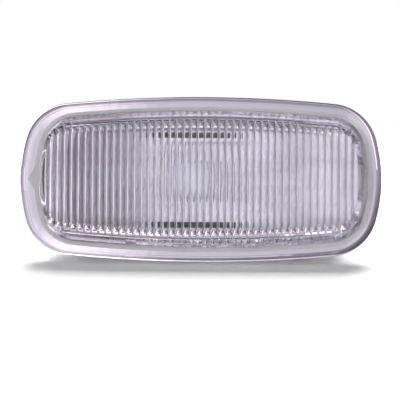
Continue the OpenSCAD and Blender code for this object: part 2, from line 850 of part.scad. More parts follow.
module filament() {
    n = coil_sides;
    starts = [for (i = [0:len(coil_path) - 2]) i * n];
    end = starts[len(starts) - 1] + n;
    color([0.45, 0.43, 0.42])
        at_bulb()
            polyhedron(
                points = [for (i = [0:len(coil_path) - 1]) each coil_section(i)],
                faces = concat(
                    [for (a = starts, k = [0:n - 1]) [a + k, a + n + k, a + n + (k + 1) % n]],
                    [for (a = starts, k = [0:n - 1]) [a + k, a + n + (k + 1) % n, a + (k + 1) % n]],
                    [[for (k = [0:n - 1]) k]],
                    [[for (k = [n - 1:-1:0]) end + k]]
                )
            );
}

// Bulb holder: plug, cap and connector shroud in one moulding
plug_r = neck_bore / 2 - fit_gap;
cap_z = neck_z - cap_t;
leaf_y = wedge_t / 2 + snug_gap + lead_d + contact_t / 2;
foot_z = base_z - lead_d - snug_gap - fit_gap;
socket_z = foot_z - contact_t;
shroud_z = cap_z - shroud_set;
shroud_end_z = shroud_z - shroud_l;
socket_h = 2 * (leaf_y + contact_flare + contact_t / 2 + snug_gap);
socket_w = wedge_w + 2 * fit_gap;
groove_z = neck_z + neck_l / 2;
ring_r = plug_r - ring_depth;

module holder_groove() {
    translate([0, 0, groove_z - ring_w / 2 - snug_gap])
        difference() {
            cylinder(r = neck_bore / 2, h = ring_w + 2 * snug_gap);
            translate([0, 0, -overlap])
                cylinder(r = ring_r, h = ring_w + 2 * overlap + 2 * snug_gap);
        }
}

module bulb_holder() {
    color([0.8, 0.8, 0.82])
        at_bulb()
            difference() {
                union() {
                    translate([0, 0, neck_z - cap_t / 2])
                        cylinder(r = plug_r, h = holder_z - neck_z + cap_t / 2);
                    translate([0, 0, cap_z])
                        cylinder(d = cap_d, h = cap_t);
                    rounded_box(
                        shroud_w + 2 * shroud_wall, shroud_h + 2 * shroud_wall, shroud_wall,
                        shroud_end_z, cap_z + cap_t / 2
                    );
                    for (side = [-1, 1])
                        translate([side * (cap_d / 2 - wing_t), 0, cap_z - wing_h / 2])
                            cube([wing_t, wing_w, wing_h + cap_t], center = true);
                    rotate([0, 0, 90])
                        across(latch_w)
                            polygon([
                                [shroud_h / 2, shroud_end_z + latch_z],
                                [shroud_h / 2 + shroud_wall, shroud_end_z + latch_z],
                                [shroud_h / 2 + shroud_wall + latch_h, shroud_end_z + latch_z + latch_l],
                                [shroud_h / 2, shroud_end_z + latch_z + latch_l]
                            ]);
                }
                holder_groove();
                translate([-socket_w / 2, -socket_h / 2, socket_z])
                    cube([socket_w, socket_h, holder_z - socket_z + overlap]);
                rounded_box(shroud_w, shroud_h, shroud_wall / 2, shroud_end_z - overlap, shroud_z);
                for (side = [-1, 1])
                    translate([side * lead_gap / 2, 0, (socket_z + shroud_z) / 2])
                        cube(
                            [
                                contact_w + 2 * snug_gap, contact_t + 2 * snug_gap,
                                socket_z - shroud_z + 2 * overlap
                            ],
                            center = true
                        );
            }
}

module holder_seal() {
    out_r = neck_bore / 2 - snug_gap;
    dip_r = out_r - ring_depth / 3;
    color([0.1, 0.1, 0.11])
        at_bulb()
            translate([0, 0, groove_z])
                rotate_extrude()
                    polygon([
                        [ring_r, -ring_w / 2],
                        [dip_r, -ring_w / 2],
                        [out_r, -ring_w / 4],
                        [dip_r, 0],
                        [out_r, ring_w / 4],
                        [dip_r, ring_w / 2],
                        [ring_r, ring_w / 2]
                    ]);
}

// Contact: a leaf that presses on the folded wire, a foot under the wedge and a blade for the plug
function contact_path(face) = [
    [face * (leaf_y + contact_flare), holder_z - contact_t],
    [face * leaf_y, holder_z - wedge_grip / 3],
    [face * leaf_y, holder_z - wedge_grip / 2],
    [face * (leaf_y + contact_flare / 2), foot_z + contact_t],
    [face * (leaf_y + contact_flare / 4), foot_z - contact_t / 2 + snug_gap],
    [0, foot_z - contact_t / 2 + snug_gap],
    [0, shroud_z - blade_l]
];

module contact(side, face) {
    path = contact_path(face);
    color([0.8, 0.68, 0.38])
        at_bulb()
            translate([side * lead_gap / 2, 0, 0])
                rotate([90, 0, 90])
                    linear_extrude(contact_w, center = true)
                        polygon(strip(path, contact_t));
}

module contact_left() {
    contact(-1, 1);
}

module contact_right() {
    contact(1, -1);
}

lens();
housing();
reflector();
panel_seal();
spring_clip();
bulb_glass();
filament();
bulb_lead_left();
bulb_lead_right();
bulb_holder();
holder_seal();
contact_left();
contact_right();
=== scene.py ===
"""Side repeater lamp: a fine lens mesh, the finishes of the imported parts, and the studio round them."""

import logging
import math
from dataclasses import dataclass, field, fields
from typing import Any, Mapping, Protocol, Sequence

import bmesh
import bpy
import numpy as np
from mathutils import Matrix, Vector


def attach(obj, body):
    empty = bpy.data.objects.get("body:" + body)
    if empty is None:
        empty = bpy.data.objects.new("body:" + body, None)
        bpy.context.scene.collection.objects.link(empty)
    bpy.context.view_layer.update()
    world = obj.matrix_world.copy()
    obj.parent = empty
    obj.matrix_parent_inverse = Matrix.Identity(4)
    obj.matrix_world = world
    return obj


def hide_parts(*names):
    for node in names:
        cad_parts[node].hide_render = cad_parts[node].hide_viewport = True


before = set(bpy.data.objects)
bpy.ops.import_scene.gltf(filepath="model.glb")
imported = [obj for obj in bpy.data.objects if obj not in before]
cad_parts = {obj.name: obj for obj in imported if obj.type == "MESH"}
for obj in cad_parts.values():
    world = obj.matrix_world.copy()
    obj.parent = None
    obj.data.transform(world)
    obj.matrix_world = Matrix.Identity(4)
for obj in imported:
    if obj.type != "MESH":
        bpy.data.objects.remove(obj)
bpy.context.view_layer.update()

MM = 0.001
BODY = "root"
Triple = tuple[float, float, float]
Colour = tuple[float, float, float]
Stops = tuple[tuple[float, Colour], ...]
Ring = list[bmesh.types.BMVert]
WHITE: Colour = (1.0, 1.0, 1.0)
ANGLE_SLACK = 1e-9
log = logging.getLogger("side_repeater")


# Shader notation


class Signal:
    """A shader socket that takes part in Python expressions on values."""

    def __init__(self, sheet: "NodeSheet", socket: bpy.types.NodeSocket | None) -> None:
        """Keeps the sheet that the socket is on, and the socket."""
        self.sheet = sheet
        self.socket = socket

    def _maths(self, operation: str, first: Any, second: Any) -> "Signal":
        """Adds one Math node."""
        return self.sheet.node("ShaderNodeMath", {"operation": operation}, {0: first, 1: second})

    def __add__(self, other: Any) -> "Signal":
        """self + other."""
        return self._maths("ADD", self, other)

    def __radd__(self, other: Any) -> "Signal":
        """other + self."""
        return self._maths("ADD", other, self)

    def __mul__(self, other: Any) -> "Signal":
        """self * other."""
        return self._maths("MULTIPLY", self, other)

    def __rmul__(self, other: Any) -> "Signal":
        """other * self."""
        return self._maths("MULTIPLY", other, self)


class NodeSheet:
    """A node tree, and the one way to add nodes to it."""

    def __init__(self, tree: bpy.types.NodeTree) -> None:
        """Empties the tree."""
        self.tree = tree
        tree.nodes.clear()

    def node(
        self,
        kind: str,
        settings: Mapping[str, Any] | None = None,
        sockets: Mapping[int | str, Any] | None = None,
        out: int | str = 0,
    ) -> Signal:
        """Adds a node.

        Args:
            kind: The node's type.
            settings: Properties of the node, set first. "stops" gives a ramp's positions and colours.
            sockets: Values or Signals for its input sockets.
            out: The output socket to hand back.

        Returns:
            The output socket as a Signal.
        """
        node = self.tree.nodes.new(kind)
        for name, value in (settings or {}).items():
            if name == "stops":
                self._set_stops(node.color_ramp, value)
            else:
                setattr(node, name, value)
        for key, value in (sockets or {}).items():
            socket = node.inputs[key]
            if isinstance(value, Signal):
                self.tree.links.new(value.socket, socket)
            elif hasattr(socket.default_value, "__len__"):
                length = len(socket.default_value)
                socket.default_value = (*value, 1.0)[:length]
            else:
                socket.default_value = value
        return Signal(self, node.outputs[out] if node.outputs else None)

    @staticmethod
    def _set_stops(ramp: bpy.types.ColorRamp, stops: Stops) -> None:
        """Gives a ramp its stops.

        Args:
            ramp: The ramp, which has two stops at first.
            stops: The position and the colour of each stop, from 0 to 1.
        """
        while len(ramp.elements) < len(stops):
            ramp.elements.new(1.0)
        for element, (position, colour) in zip(ramp.elements, stops):
            element.position = position
            element.color = (*colour, 1.0)

    def place(self) -> Signal:
        """The point on the object, in metres."""
        return self.node("ShaderNodeTexCoord", out="Object")

    def stretched(self, place: Signal, scale: Triple) -> Signal:
        """The place scaled by a factor along each axis."""
        return self.node("ShaderNodeVectorMath", {"operation": "MULTIPLY"}, {0: place, 1: scale})

    def part(self, place: Signal, axis: int) -> Signal:
        """One coordinate of a place."""
        return self.node("ShaderNodeSeparateXYZ", None, {0: place}, out=axis)

    def noise(self, place: Signal, scale: float, detail: float = 2.0, roughness: float = 0.5) -> Signal:
        """Soft noise from 0 to 1 at a scale in cycles per metre."""
        sockets = {"Vector": place, "Scale": scale, "Detail": detail, "Roughness": roughness}
        return self.node("ShaderNodeTexNoise", None, sockets)

    def spread(self, value: Signal, low: float, high: float) -> Signal:
        """Maps low to high onto 0 to 1, clamped."""
        return self.node("ShaderNodeMapRange", {"clamp": True}, {0: value, 1: low, 2: high, 3: 0.0, 4: 1.0})

    def ramp(self, value: Signal, stops: Stops) -> Signal:
        """The colour that a row of stops gives to a value from 0 to 1."""
        return self.node("ShaderNodeValToRGB", {"stops": stops}, {0: value})

    def blend(self, share: Signal | float, first: Any, second: Any, kind: str = "MIX") -> Signal:
        """Mixes two colours."""
        settings = {"data_type": "RGBA", "blend_type": kind}
        return self.node("ShaderNodeMix", settings, {0: share, 6: first, 7: second}, out=2)

    def bump(self, height: Signal, depth: float, strength: float) -> Signal:
        """A surface relief of a depth in metres."""
        return self.node("ShaderNodeBump", None, {"Height": height, "Distance": depth, "Strength": strength})


class Coating(NodeSheet):
    """The node sheet of one material."""

    def __init__(self, name: str) -> None:
        """Makes an empty material.

        Args:
            name: The material's name.
        """
        self.material = bpy.data.materials.new(name)
        self.material.use_nodes = True
        super().__init__(self.material.node_tree)

    def surface(self, sockets: Mapping[int | str, Any]) -> bpy.types.Material:
        """Closes the sheet with a Principled surface.

        Args:
            sockets: Values or Signals for the surface's sockets.

        Returns:
            The finished material.
        """
        shader = self.node("ShaderNodeBsdfPrincipled", None, sockets)
        self.node("ShaderNodeOutputMaterial", None, {"Surface": shader})
        return self.material


# Finishes, with their reliefs in metres and their patterns in cycles per metre


class Finish(Protocol):
    """What each finish can do."""

    def material(self) -> bpy.types.Material:
        """Builds the finish."""


@dataclass(frozen=True)
class ClearAcrylic:
    """Polished clear acrylic with a faint lavender cast and the slight ripple of a moulding."""

    name: str = "clear_acrylic"
    clear: Colour = (0.955, 0.95, 0.975)
    hazed: Colour = (0.93, 0.92, 0.95)
    polished: float = 0.006
    rubbed_more: float = 0.03
    haze_scale: float = 60.0
    rub_scale: float = 900.0
    ripple_scale: float = 220.0
    ripple_stretch: Triple = (1.0, 1.0, 0.35)
    ripple_depth: float = 0.00006
    ior: float = 1.49

    def material(self) -> bpy.types.Material:
        """Builds the finish.

        Returns:
            The material.
        """
        sheet = Coating(self.name)
        place = sheet.place()
        haze = sheet.spread(sheet.noise(place, self.haze_scale, detail=3.0), low=0.4, high=0.7)
        ripple = sheet.noise(sheet.stretched(place, self.ripple_stretch), self.ripple_scale, detail=1.0)
        scuffs = sheet.noise(place, self.rub_scale, detail=4.0, roughness=0.7)
        rubbed = sheet.spread(scuffs, low=0.5, high=0.75)
        return sheet.surface(
            {
                "Base Color": sheet.blend(haze, self.clear, self.hazed),
                "Roughness": self.polished + self.rubbed_more * (haze * rubbed),
                "IOR": self.ior,
                "Transmission Weight": 1.0,
                "Normal": sheet.bump(ripple, self.ripple_depth, strength=0.5),
            }
        )


@dataclass(frozen=True)
class SatinMoulding:
    """Injection-moulded plastic with a fine spark-eroded grain."""

    name: str
    base: Colour
    worn: Colour
    smoothest: float = 0.39
    grain_rougher: float = 0.14
    cloud_scale: float = 90.0
    grain_scale: float = 4500.0
    grain_depth: float = 0.00002

    def material(self) -> bpy.types.Material:
        """Builds the finish.

        Returns:
            The material.
        """
        sheet = Coating(self.name)
        place = sheet.place()
        cloud = sheet.noise(place, self.cloud_scale, detail=4.0, roughness=0.6)
        grain = sheet.noise(place, self.grain_scale, detail=2.0, roughness=0.6)
        return sheet.surface(
            {
                "Base Color": sheet.blend(sheet.spread(cloud, low=0.35, high=0.7), self.base, self.worn),
                "Roughness": self.smoothest + self.grain_rougher * grain,
                "Normal": sheet.bump(grain, self.grain_depth, strength=0.6),
            }
        )


@dataclass(frozen=True)
class Metallised:
    """A vacuum-metallised moulding with painted light along the lamp: painted shade at the left end, a
    painted pool of light round the bulb and painted half shade at the right end; with a faint ripple and
    dulled patches.
    """

    name: str = "metallised_tray"
    # The painted light along the lamp runs between these two ends, in metres: painted shade at the left end,
    # a painted pool of light round the bulb, painted half shade at the right end.
    ends: tuple[float, float] = (-0.05, 0.05)
    along: Stops = (
        (0.0, (0.44, 0.42, 0.44)),
        (0.27, (0.44, 0.42, 0.44)),
        (0.36, (0.84, 0.84, 0.88)),
        (0.62, (0.84, 0.84, 0.88)),
        (0.7, (0.7, 0.69, 0.73)),
        (1.0, (0.7, 0.69, 0.73)),
    )
    dull: Colour = (0.88, 0.88, 0.9)
    smoothest: float = 0.03
    dulled_rougher: float = 0.07
    dull_scale: float = 70.0
    ripple_scale: float = 260.0
    ripple_depth: float = 0.0003

    def material(self) -> bpy.types.Material:
        """Builds the finish.

        Returns:
            The material.
        """
        sheet = Coating(self.name)
        place = sheet.place()
        patches = sheet.noise(place, self.dull_scale, detail=3.0, roughness=0.6)
        dulled = sheet.spread(patches, low=0.4, high=0.7)
        ripple = sheet.noise(place, self.ripple_scale)
        # Painted light along the lamp: painted shade at the left, a painted pool of light round the bulb,
        # painted half shade at the right.
        painted_light_tone = sheet.ramp(sheet.spread(sheet.part(place, 0), *self.ends), self.along)
        return sheet.surface(
            {
                "Base Color": sheet.blend(dulled, painted_light_tone, self.dull, kind="MULTIPLY"),
                "Metallic": 1.0,
                "Roughness": self.smoothest + self.dulled_rougher * dulled,
                "Normal": sheet.bump(ripple, self.ripple_depth, strength=0.5),
            }
        )


@dataclass(frozen=True)
class CellFoam:
    """Closed-cell rubber foam."""

    name: str = "cell_foam"
    base: Colour = (0.035, 0.035, 0.038)
    pore: Colour = (0.012, 0.012, 0.013)
    roughness: float = 0.85
    cell_scale: float = 2600.0
    cell_depth: float = 0.00008

    def material(self) -> bpy.types.Material:
        """Builds the finish.

        Returns:
            The material.
        """
        sheet = Coating(self.name)
        cells = sheet.node("ShaderNodeTexVoronoi", None, {"Vector": sheet.place(), "Scale": self.cell_scale})
        return sheet.surface(
            {
                "Base Color": sheet.blend(sheet.spread(cells, low=0.2, high=0.6), self.pore, self.base),
                "Roughness": self.roughness,
                "Normal": sheet.bump(cells, self.cell_depth, strength=0.8),
            }
        )


@dataclass(frozen=True)
class DrawnMetal:
    """Rolled or drawn metal with fine lines along the axis of its smallest scale."""

    name: str
    base: Colour
    dark: Colour
    smoothest: float
    lines: Triple
    lines_rougher: float = 0.15
    stain_scale: float = 400.0
    line_depth: float = 0.00002

    def material(self) -> bpy.types.Material:
        """Builds the finish.

        Returns:
            The material.
        """
        sheet = Coating(self.name)
        place = sheet.place()
        lines = sheet.noise(sheet.stretched(place, self.lines), scale=1.0, detail=3.0, roughness=0.6)
        patches = sheet.noise(place, self.stain_scale, detail=3.0, roughness=0.6)
        stain = sheet.spread(patches, low=0.45, high=0.75)
        return sheet.surface(
            {
                "Base Color": sheet.blend(stain, self.base, self.dark),
                "Metallic": 1.0,
                "Roughness": self.smoothest + self.lines_rougher * lines,
                "Normal": sheet.bump(lines, self.line_depth, strength=0.5),
            }
        )


@dataclass(frozen=True)
class BlownGlass:
    """Blown glass, a little wavy, whose milky bluish cast is a painted highlight on the bulb."""

    name: str = "blown_glass"
    # The pale bluish colours and the low clearness make the bulb a milky surface that carries a painted
    # highlight; the wave varies the colour at random.
    clear: Colour = (0.9, 0.9, 1.0)
    smoky: Colour = (0.82, 0.83, 0.95)
    clearness: float = 0.25
    smoothest: float = 0.01
    wave_rougher: float = 0.02
    wave_scale: float = 300.0
    wave_depth: float = 0.00005
    ior: float = 1.5

    def material(self) -> bpy.types.Material:
        """Builds the finish.

        Returns:
            The material.
        """
        sheet = Coating(self.name)
        wave = sheet.noise(sheet.place(), self.wave_scale, detail=1.0)
        return sheet.surface(
            {
                "Base Color": sheet.blend(sheet.spread(wave, low=0.4, high=0.7), self.clear, self.smoky),
                "Roughness": self.smoothest + self.wave_rougher * wave,
                "IOR": self.ior,
                "Transmission Weight": self.clearness,
                "Normal": sheet.bump(wave, self.wave_depth, strength=0.4),
            }
        )


@dataclass(frozen=True)
class SmoothRubber:
    """Smooth moulded rubber with a faint bloom."""

    name: str = "smooth_rubber"
    base: Colour = (0.012, 0.012, 0.014)
    bloom: Colour = (0.03, 0.03, 0.032)
    smoothest: float = 0.5
    bloom_rougher: float = 0.2
    bloom_scale: float = 500.0
    bloom_depth: float = 0.00002

    def material(self) -> bpy.types.Material:
        """Builds the finish.

        Returns:
            The material.
        """
        sheet = Coating(self.name)
        noise = sheet.noise(sheet.place(), self.bloom_scale, detail=4.0, roughness=0.6)
        bloom = sheet.spread(noise, low=0.4, high=0.75)
        return sheet.surface(
            {
                "Base Color": sheet.blend(bloom, self.base, self.bloom),
                "Roughness": self.smoothest + self.bloom_rougher * bloom,
                "Normal": sheet.bump(bloom, self.bloom_depth, strength=0.5),
            }
        )


# Lens


@dataclass(frozen=True)
class Outline:
    """Four bowed sides joined by four tangent corner arcs, in millimetres."""

    half_w: float
    half_h: float
    side_r: float
    end_r: float
    corner_r: float

    def inset(self, end_in: float, side_in: float) -> "Outline":
        """Moves the outline in.

        Args:
            end_in: How far at its ends.
            side_in: How far at its long sides.

        Returns:
            The smaller outline.
        """
        return Outline(
            self.half_w - end_in,
            self.half_h - side_in,
            self.side_r - side_in,
            self.end_r - side_in,
            self.corner_r - side_in,
        )

    def shrunk(self, by: float) -> "Outline":
        """The outline moved in evenly."""
        return self.inset(by, by)

    def corner(self) -> np.ndarray:
        """Works out the upper right corner arc.

        Returns:
            The arc's centre.
        """
        start = np.array([0.0, self.half_h - self.side_r])
        apart = np.array([self.half_w - self.end_r, 0.0]) - start
        gap = float(np.hypot(*apart))
        along = apart / gap
        to_side, to_end = self.side_r - self.corner_r, self.end_r - self.corner_r
        run = (to_side**2 - to_end**2 + gap**2) / (2 * gap)
        off = math.sqrt(to_side**2 - run**2)
        return start + run * along + off * np.array([along[1], -along[0]])

    def angles(self) -> tuple[float, float]:
        """Works out where the corner arc begins and stops.

        Returns:
            The angles at which it leaves the end and meets the long side, in radians.
        """
        x, y = self.corner()
        end = math.atan2(y, x - (self.half_w - self.end_r))
        return end, math.atan2(y - (self.half_h - self.side_r), x)

    def half_y(self, x: np.ndarray) -> np.ndarray:
        """Measures the outline across.

        Args:
            x: Places along the lamp, from its middle.

        Returns:
            Half the height at each place.
        """
        u = np.abs(x)
        corner = self.corner()
        end, side = self.angles()
        side_x = self.side_r * math.cos(side)
        end_x = self.half_w - self.end_r + self.end_r * math.cos(end)
        on_side = self.half_h - self.side_r + np.sqrt(np.maximum(self.side_r**2 - u**2, 0))
        on_corner = corner[1] + np.sqrt(np.maximum(self.corner_r**2 - (u - corner[0]) ** 2, 0))
        on_end = np.sqrt(np.maximum(self.end_r**2 - (u - self.half_w + self.end_r) ** 2, 0))
        return np.where(u <= side_x, on_side, np.where(u <= end_x, on_corner, on_end))

    def half_x(self, y: np.ndarray) -> np.ndarray:
        """Measures the outline along, at its ends and corners.

        Args:
            y: Heights, from its middle.

        Returns:
            Half the length at each height.
        """
        v = np.abs(y)
        corner = self.corner()
        end, _ = self.angles()
        on_end = self.half_w - self.end_r + np.sqrt(np.maximum(self.end_r**2 - v**2, 0))
        on_corner = corner[0] + np.sqrt(np.maximum(self.corner_r**2 - (v - corner[1]) ** 2, 0))
        return np.where(v <= self.end_r * math.sin(end), on_end, on_corner)

    def top_half(self, steps: tuple[int, int, int]) -> np.ndarray:
        """Sets points along the upper half, from the left tip to the right tip.

        Args:
            steps: Numbers of steps on half an end, on a corner and on the long side.

        Returns:
            The points, one to a row.
        """
        end, side = self.angles()
        n_end, n_corner, n_side = steps
        at_end = np.linspace(0, end, n_end, endpoint=False)
        at_corner = np.linspace(end, side, n_corner, endpoint=False)
        at_side = np.linspace(math.pi - side, side, n_side + 1)
        tip = self.end_r * np.stack([np.cos(at_end), np.sin(at_end)], 1) + [self.half_w - self.end_r, 0]
        turn = self.corner_r * np.stack([np.cos(at_corner), np.sin(at_corner)], 1) + self.corner()
        top = self.side_r * np.stack([np.cos(at_side), np.sin(at_side)], 1) + [0, self.half_h - self.side_r]
        right = np.concatenate([tip, turn])
        return np.concatenate([right * [-1, 1], top, right[::-1]])


def closed_ring(top: np.ndarray) -> np.ndarray:
    """Closes an upper half of points with its mirror image below."""
    return np.concatenate([top, top[-2:0:-1] * [1, -1, 1]])


@dataclass(frozen=True)
class LipNotch:
    """A notch in the back edge of the lens's lip, in millimetres, turned by some degrees."""

    x: float
    y: float
    width: float
    height: float
    turn: float = 0.0
    behind: float = 0.4
    walls_deep: int = 4

    def cutter(self, lip_back: float, lip_wall: float) -> bpy.types.Object:
        """Makes the block that cuts the notch.

        Args:
            lip_back: Height of the lip's back edge.
            lip_wall: Thickness of the lip.

        Returns:
            The block, which is taken out of the scene after the cut.
        """
        block = bmesh.new()
        bmesh.ops.create_cube(block, size=1.0)
        swing = Matrix.Rotation(math.radians(self.turn), 3, "Z")
        size = Vector((self.width, self.walls_deep * lip_wall, self.height + self.behind))
        foot = Vector((self.x, self.y, lip_back - self.behind))
        for vert in block.verts:
            corner = Vector((vert.co.x * size.x, vert.co.y * size.y, (vert.co.z + 0.5) * size.z))
            x, y, z = swing @ corner + foot
            vert.co = (x * MM, -z * MM, y * MM)
        bmesh.ops.recalc_face_normals(block, faces=block.faces)
        data = bpy.data.meshes.new("notch_block")
        block.to_mesh(data)
        block.free()
        cutter = bpy.data.objects.new("notch_block", data)
        bpy.context.scene.collection.objects.link(cutter)
        return cutter


@dataclass
class LensUnit:
    """The clear lens: a flange and lip, a dome, and a cavity whose front is fluted. Sizes in millimetres."""

    outline: Outline = Outline(half_w=51.5, half_h=23.4, side_r=400.0, end_r=43.0, corner_r=13.7)
    # The outline's middle stands this far left of the dome's
    shift: float = 0.9
    lip_wall: float = 1.6
    lip_back: float = 0.6
    seat_z: float = 4.0
    # Holds the seat off the housing's rim, so that no two faces share a plane
    seat_gap: float = 0.03
    flange_z: float = 6.2
    front_z: float = 14.7
    cavity_z: float = 12.2
    edge_r: float = 1.4
    # The next three are measured at the ends and at the long sides
    flange: tuple[float, float] = (3.3, 2.85)
    step: tuple[float, float] = (1.3, 1.15)
    band: tuple[float, float] = (1.6, 1.5)
    dome_lean: float = 2.4
    dome_end_lean: float = 1.2
    dome_edge_r: float = 2.6
    foot_r: float = 0.4
    crown_r: float = 850.0
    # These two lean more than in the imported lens, so that the flutes end where the photograph shows
    cavity_lean: float = 2.9
    cavity_end_lean: float = 0.95
    cove_r: float = 1.2
    cavity_end_bow_r: float = 150.0
    pitch: float = 2.0
    depth: float = 0.8
    runout: float = 0.2
    pry: tuple[float, float] = (7.0, 2.2)
    drain: tuple[float, float] = (3.0, 0.9)
    drain_top_x: float = 25.5
    drain_foot_x: float = 21.0
    outer_steps: tuple[int, int, int] = (16, 22, 72)
    quarter_steps: int = 6
    dome_edge_steps: int = 10
    dome_wall_shares: tuple[float, float] = (0.33, 0.66)
    cove_steps: int = 8
    cavity_wall_steps: int = 6
    flute_steps: int = 12
    end_rows: int = 12
    cap_rows: int = 10
    sharp_deg: float = 38.0
    finish: Finish = ClearAcrylic()
    dome: Outline = field(init=False)
    cavity: Outline = field(init=False)

    def __post_init__(self) -> None:
        """Works out the two inner outlines."""
        self.dome = self.outline.inset(*self.flange).inset(*self.step)
        self.cavity = self.dome.inset(*self.band)

    def crown(self, x: np.ndarray, z: float, low: float, high: float) -> np.ndarray:
        """Height of the bowed front at places along the lamp."""
        return z - x**2 / (2 * self.crown_r) * max(0.0, (z - low) / (high - low))

    @staticmethod
    def shoulder(lean: float, low: float, high: float, r: float, steps: int) -> list[Triple]:
        """Rounds the shoulder of a leaning wall.

        Args:
            lean: How far the wall leans in.
            low: Height of its foot.
            high: Height of its top.
            r: Radius of the shoulder.
            steps: Number of steps round it.

        Returns:
            For each step the inset, the height and the angle of the normal.
        """
        slope = math.atan2(lean, high - low)
        reach = lean + r * math.tan((math.pi / 2 - slope) / 2)
        turn = np.linspace(slope, math.pi / 2, steps + 1)
        return [(reach - r * math.cos(a), high - r + r * math.sin(a), a) for a in turn]

    def quarter(self) -> np.ndarray:
        """The angles of a quarter turn."""
        return np.linspace(0, math.pi / 2, self.quarter_steps + 1)

    def level_ring(self, inset: float, z: float) -> np.ndarray:
        """The points of a level ring, some way in from the lens's outline."""
        top = self.outline.shrunk(inset).top_half(self.outer_steps)
        return closed_ring(np.column_stack([top[:, 0] - self.shift, top[:, 1], np.full(len(top), z)]))

    def lip_rings(self) -> list[np.ndarray]:
        """Goes up the outside of the lip.

        Returns:
            Its rings, from the back edge to the flange's face.
        """
        back_r = self.lip_back / 2
        arc = [(1 - math.sin(a), 1 - math.cos(a)) for a in self.quarter()]
        profile = [(back_r * inset, self.lip_back + back_r * up) for inset, up in arc]
        profile += [(self.edge_r * inset, self.flange_z - self.edge_r * down) for down, inset in arc]
        return [self.level_ring(inset, z) for inset, z in profile]

    def dome_ring(self, inset: float, z: float) -> np.ndarray:
        """Sets a ring of the dome.

        Args:
            inset: How far it stands in from the dome's foot at the long sides.
            z: Its height in the middle of the lamp.

        Returns:
            Its points.
        """
        end_inset = inset * self.dome_end_lean / self.dome_lean
        level = Outline(
            self.dome.half_w - end_inset,
            self.dome.half_h - inset,
            self.dome.side_r - inset,
            self.dome.end_r - inset,
            self.dome.corner_r - inset,
        )
        x, y = level.top_half(self.outer_steps).T
        return closed_ring(np.column_stack([x, y, self.crown(x, z, self.flange_z, self.front_z)]))

    def dome_rings(self) -> list[np.ndarray]:
        """Goes up the outside of the dome.

        Returns:
            Its rings, from the rounded foot to the front.
        """
        profile = [
            (-self.foot_r * (1 - math.sin(a)), self.flange_z + self.foot_r * (1 - math.cos(a)))
            for a in self.quarter()
        ]
        foot_in, foot_z = profile[-1]
        edge = self.shoulder(
            self.dome_lean, self.flange_z, self.front_z, self.dome_edge_r, self.dome_edge_steps
        )
        edge_in, edge_z, _ = edge[0]
        for share in self.dome_wall_shares:
            profile.append((foot_in + (edge_in - foot_in) * share, foot_z + (edge_z - foot_z) * share))
        profile += [(inset, z) for inset, z, _ in edge]
        return [self.dome_ring(inset, z) for inset, z in profile]

    def cavity_outline(self, inset: float, z: float) -> Outline:
        """Works out the cavity at one height.

        Args:
            inset: How far it stands in from its foot at the long sides.
            z: The height.

        Returns:
            Its outline, whose ends bow less towards the front.
        """
        share = min(1.0, max(0.0, (z - self.seat_z) / (self.cavity_z - self.seat_z)))
        return Outline(
            self.cavity.half_w - inset * self.cavity_end_lean / self.cavity_lean,
            self.cavity.half_h - inset,
            self.cavity.side_r - inset,
            self.cavity.end_r + (self.cavity_end_bow_r - self.cavity.end_r) * share,
            self.cavity.corner_r - inset,
        )

    def flutes(self, count: int) -> tuple[np.ndarray, np.ndarray]:
        """The hollow flutes, with a sharp ridge between each two.

        Args:
            count: Number of flutes along the lamp.

        Returns:
            Places along the lamp, and how far the surface stands in at each.
        """
        r = ((self.pitch / 2) ** 2 + self.depth**2) / (2 * self.depth)
        turn = math.asin(self.pitch / 2 / r)
        half = self.flute_steps // 2
        rise = r * np.sin(turn * np.arange(half + 1) / half)
        one = np.concatenate([rise, self.pitch - rise[-2:0:-1]])
        x = np.concatenate([one + k * self.pitch for k in range(count)] + [[count * self.pitch]])
        u = np.minimum(x % self.pitch, self.pitch - x % self.pitch)
        return x - count * self.pitch / 2, r - np.sqrt(r**2 - np.minimum(u, self.pitch / 2) ** 2)

    def cavity_profile(self) -> list[tuple[float, float, float, float]]:
        """Goes up the wall of the cavity and round its cove.

        Returns:
            For each ring the inset, the height, the angle of the normal and the share of the flutes' depth.
        """
        cove = self.shoulder(self.cavity_lean, self.seat_z, self.cavity_z, self.cove_r, self.cove_steps)
        top_in, top_z, slope = cove[0]
        profile = [(0.0, self.seat_z + self.seat_gap, slope, 0.0)]
        for share in np.linspace(0, 1, self.cavity_wall_steps + 1)[:-1]:
            up = 1 - self.runout * (1 - share)
            profile.append((top_in * up, self.seat_z + (top_z - self.seat_z) * up, slope, share))
        return profile + [(inset, z, angle, 1.0) for inset, z, angle in cove]

    def cavity_rings(self) -> list[np.ndarray]:
        """Goes up the inside of the lens.

        Returns:
            Its rings, from the cavity's foot to its fluted front.
        """
        profile = self.cavity_profile()
        count = math.floor(2 * self.cavity_outline(profile[-1][0], self.cavity_z).half_w / self.pitch)
        x, stand = self.flutes(count)
        rings = []
        for inset, z, angle, share in profile:
            outline = self.cavity_outline(inset, z)
            edge_y = float(outline.half_y(np.array([count * self.pitch / 2]))[0])
            rows = edge_y * np.sin(np.linspace(0, math.pi / 2, self.end_rows + 1)[:-1])
            ends = np.column_stack([outline.half_x(rows), rows, np.zeros(len(rows))])
            depth = np.maximum(0, stand - self.depth * (1 - share))
            fluted = [x, outline.half_y(x) - depth * math.cos(angle), depth * math.sin(angle)]
            top = np.concatenate([ends * [-1, 1, 1], np.column_stack(fluted), ends[::-1]])
            top[:, 2] = self.crown(top[:, 0], z, self.seat_z, self.cavity_z) - top[:, 2]
            rings.append(closed_ring(top))
        return rings

    def notches(self) -> list[LipNotch]:
        """Places the notches of the lip.

        Returns:
            The notch for a screwdriver at the left end, and the two that let water out.
        """
        middle = self.lip_wall / 2
        top_y, foot_y = self.outline.half_y(np.array([self.drain_top_x, self.drain_foot_x])) - middle
        return [
            LipNotch(middle - self.shift - self.outline.half_w, 0.0, *self.pry, turn=90.0),
            LipNotch(-self.drain_top_x, top_y, *self.drain),
            LipNotch(-self.drain_foot_x, -foot_y, *self.drain),
        ]

